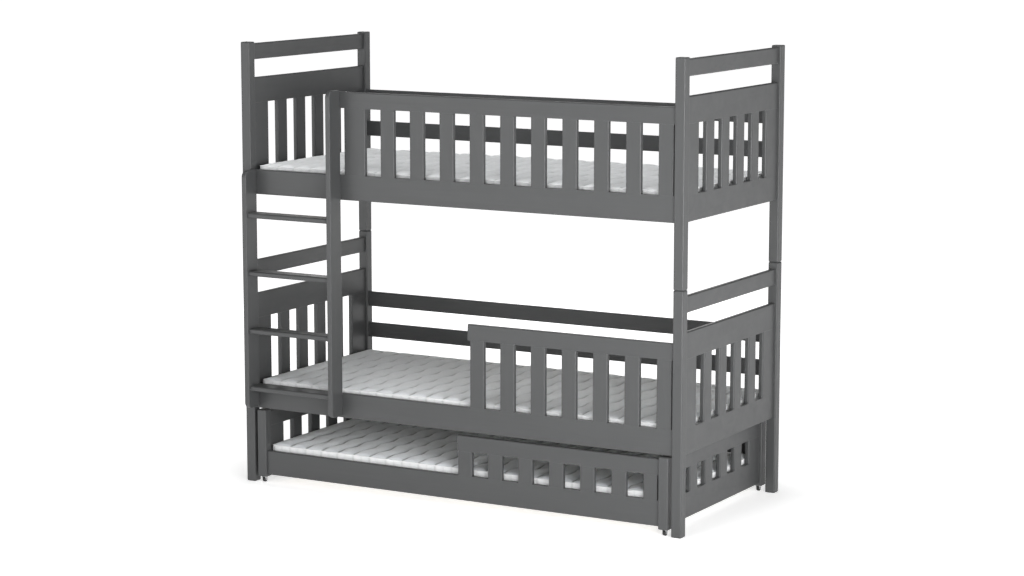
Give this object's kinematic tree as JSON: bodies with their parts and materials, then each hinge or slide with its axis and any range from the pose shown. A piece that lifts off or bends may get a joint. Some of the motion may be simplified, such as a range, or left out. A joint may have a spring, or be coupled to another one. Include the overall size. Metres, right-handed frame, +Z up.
{
  "type": "bunk bed with trundle",
  "caption": "Painted wooden bunk bed with slatted guards, a side ladder, slatted bases, quilted mattresses and a low trundle bed that rolls out from under it on casters.",
  "frame": {"origin": "on the floor, in the middle of the footprint, with the ladder counted in and the trundle pushed in", "axes": "+X along the bed from the ladder end to the guarded end, +Y from the ladder side to the wall side, +Z up"},
  "size_m": [1.98, 0.964, 1.798],
  "materials": {
    "graphite_wood": "satin graphite grey paint over smooth wood",
    "bare_wood": "planed pale wood, no paint",
    "mattress_fabric": "white quilted knit cover over foam",
    "caster_plastic": "black moulded plastic",
    "zinc_steel": "zinc-plated steel"
  },
  "bodies": {
    "bed_frame": {"barrel_nuts": "zinc_steel", "bolt_caps": "graphite_wood", "ladder_bolts": "zinc_steel", "ladder_stile_left": "graphite_wood", "ladder_stile_right": "graphite_wood", "ladder_treads": "graphite_wood", "lower_back_guard_rails": "graphite_wood", "lower_back_rail": "graphite_wood", "lower_bed_slats": "bare_wood", "lower_end_lower_boards": "graphite_wood", "lower_end_top_rails": "graphite_wood", "lower_end_upper_boards": "graphite_wood", "lower_front_rail": "graphite_wood", "lower_guard_board": "graphite_wood", "lower_guard_slats": "graphite_wood", "lower_ledgers": "bare_wood", "lower_left_end_slats": "graphite_wood", "lower_right_end_slats": "graphite_wood", "mattress_lower": "mattress_fabric", "mattress_upper": "mattress_fabric", "post_joint_pins": "zinc_steel", "post_lower_back_left": "graphite_wood", "post_lower_back_right": "graphite_wood", "post_lower_front_left": "graphite_wood", "post_lower_front_right": "graphite_wood", "post_upper_back_left": "graphite_wood", "post_upper_back_right": "graphite_wood", "post_upper_front_left": "graphite_wood", "post_upper_front_right": "graphite_wood", "rail_bolts": "zinc_steel", "upper_back_guard_rails": "graphite_wood", "upper_back_rail": "graphite_wood", "upper_bed_slats": "bare_wood", "upper_end_lower_boards": "graphite_wood", "upper_end_top_rails": "graphite_wood", "upper_end_upper_boards": "graphite_wood", "upper_front_rail": "graphite_wood", "upper_guard_board": "graphite_wood", "upper_guard_slats": "graphite_wood", "upper_ledgers": "bare_wood", "upper_left_end_slats": "graphite_wood", "upper_right_end_slats": "graphite_wood"},
    "trundle": {"caster_axles": "zinc_steel", "caster_brackets": "zinc_steel", "mattress_trundle": "mattress_fabric", "trundle_back_board": "graphite_wood", "trundle_bed_slats": "bare_wood", "trundle_end_lower_boards": "graphite_wood", "trundle_end_slats": "graphite_wood", "trundle_end_upper_boards": "graphite_wood", "trundle_front_rail": "graphite_wood", "trundle_guard_board": "graphite_wood", "trundle_guard_slats": "graphite_wood", "trundle_ledgers": "bare_wood", "trundle_posts": "graphite_wood"},
    "wheel_back_left": {"caster_wheel_back_left": "caster_plastic"},
    "wheel_back_right": {"caster_wheel_back_right": "caster_plastic"},
    "wheel_front_left": {"caster_wheel_front_left": "caster_plastic"},
    "wheel_front_right": {"caster_wheel_front_right": "caster_plastic"}
  },
  "joints": [
    {"name": "trundle_slide", "type": "slide", "parent": "bed_frame", "child": "trundle", "axis": [0, -1, 0], "range_m": [0, 0.9]},
    {"name": "wheel_back_left_spin", "type": "hinge", "parent": "trundle", "child": "wheel_back_left", "pos_m": [-0.914, 0.456, 0.011], "axis": [1, 0, 0], "continuous": true},
    {"name": "wheel_back_right_spin", "type": "hinge", "parent": "trundle", "child": "wheel_back_right", "pos_m": [0.914, 0.456, 0.011], "axis": [1, 0, 0], "continuous": true},
    {"name": "wheel_front_left_spin", "type": "hinge", "parent": "trundle", "child": "wheel_front_left", "pos_m": [-0.914, -0.395, 0.011], "axis": [1, 0, 0], "continuous": true},
    {"name": "wheel_front_right_spin", "type": "hinge", "parent": "trundle", "child": "wheel_front_right", "pos_m": [0.914, -0.395, 0.011], "axis": [1, 0, 0], "continuous": true}
  ],
  "couplings": [
    {"joint": "wheel_back_left_spin", "follows": "trundle_slide", "rad_per_m": 90.909},
    {"joint": "wheel_back_right_spin", "follows": "trundle_slide", "rad_per_m": 90.909},
    {"joint": "wheel_front_left_spin", "follows": "trundle_slide", "rad_per_m": 90.909},
    {"joint": "wheel_front_right_spin", "follows": "trundle_slide", "rad_per_m": 90.909}
  ]
}
